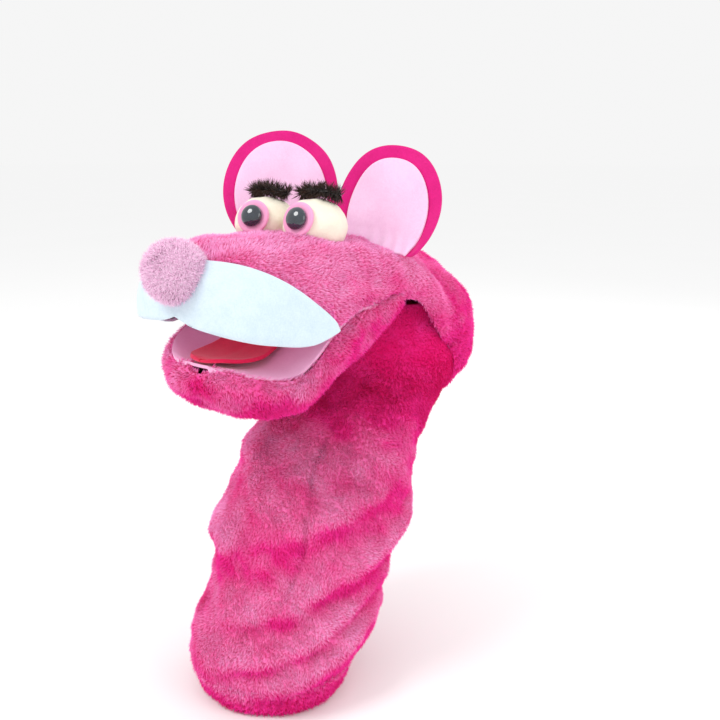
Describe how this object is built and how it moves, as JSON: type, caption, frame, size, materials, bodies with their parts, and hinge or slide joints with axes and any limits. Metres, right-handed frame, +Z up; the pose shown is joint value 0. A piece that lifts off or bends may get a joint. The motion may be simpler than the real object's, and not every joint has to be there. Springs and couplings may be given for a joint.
{
  "type": "hand puppet",
  "caption": "Plush sleeve hand puppet with a moving mouth: fur sleeve, soft neck, upper head, lower jaw, felt tongue, round felt ears, padded eyes and a pompom nose.",
  "frame": {"origin": "centre of the sleeve's opening, on the plane of its rim", "axes": "+Z up the sleeve, -Y the way the puppet faces, +X the puppet's left"},
  "size_m": [0.1292, 0.2325, 0.2857],
  "materials": {
    "plush": "short brushed plush",
    "pale_felt": "matt craft felt",
    "disc_felt": "smooth craft felt",
    "magenta_felt": "matt craft felt",
    "muzzle_felt": "matt craft felt",
    "red_felt": "matt craft felt",
    "eye_cloth": "soft fleece",
    "pompom": "fluffy acrylic fibre",
    "button": "polished",
    "chenille": "bristly chenille",
    "wire": "drawn wire",
    "wadding": "loose polyester fibre",
    "board": "fibre board",
    "tape": "woven cotton tape"
  },
  "bodies": {
    "sleeve": {"sleeve": "plush", "sleeve_hem": "plush"},
    "neck": {"neck": "plush"},
    "head": {"head_upper": "plush", "crown_wadding": "wadding", "palate_board": "board", "palate_lining": "pale_felt", "hinge_tape": "tape", "muzzle_patch": "muzzle_felt", "nose_pompom": "pompom", "eye_pad_left": "eye_cloth", "eye_pad_right": "eye_cloth", "eye_filling_left": "wadding", "eye_filling_right": "wadding", "eye_disc_left": "disc_felt", "eye_disc_right": "disc_felt", "eye_button_left": "button", "eye_button_right": "button", "brow_pile_left": "chenille", "brow_pile_right": "chenille", "brow_wire_left": "wire", "brow_wire_right": "wire"},
    "jaw": {"jaw_lower": "plush", "floor_board": "board", "floor_lining": "pale_felt"},
    "tongue": {"tongue": "red_felt"},
    "ear_left": {"ear_back_left": "magenta_felt", "ear_front_left": "pale_felt"},
    "ear_right": {"ear_back_right": "magenta_felt", "ear_front_right": "pale_felt"}
  },
  "joints": [
    {"name": "head_turn", "type": "hinge", "parent": "sleeve", "child": "neck", "pos_m": [0, 0.04, 0.118], "axis": [0, 0, 1], "range_deg": [-25, 25]},
    {"name": "head_nod", "type": "hinge", "parent": "neck", "child": "head", "pos_m": [0, 0.093, 0.175], "axis": [1, 0, 0], "range_deg": [-20, 8]},
    {"name": "jaw_hinge", "type": "hinge", "parent": "head", "child": "jaw", "pos_m": [0, 0.029, 0.213], "axis": [1, 0, 0], "range_deg": [-12, 18]},
    {"name": "tongue_lift", "type": "hinge", "parent": "jaw", "child": "tongue", "pos_m": [0, 0.007, 0.1969], "axis": [-1, 0, 0], "range_deg": [0, 22], "stiffness_Nm_per_rad": 0.01},
    {"name": "ear_left_flap", "type": "hinge", "parent": "head", "child": "ear_left", "pos_m": [0.035, 0.047, 0.234], "axis": [0.9994, -0.0349, 0], "range_deg": [-18, 18], "stiffness_Nm_per_rad": 0.04},
    {"name": "ear_right_flap", "type": "hinge", "parent": "head", "child": "ear_right", "pos_m": [-0.035, 0.045, 0.235], "axis": [0.8988, 0.4384, 0], "range_deg": [-18, 18], "stiffness_Nm_per_rad": 0.04}
  ]
}
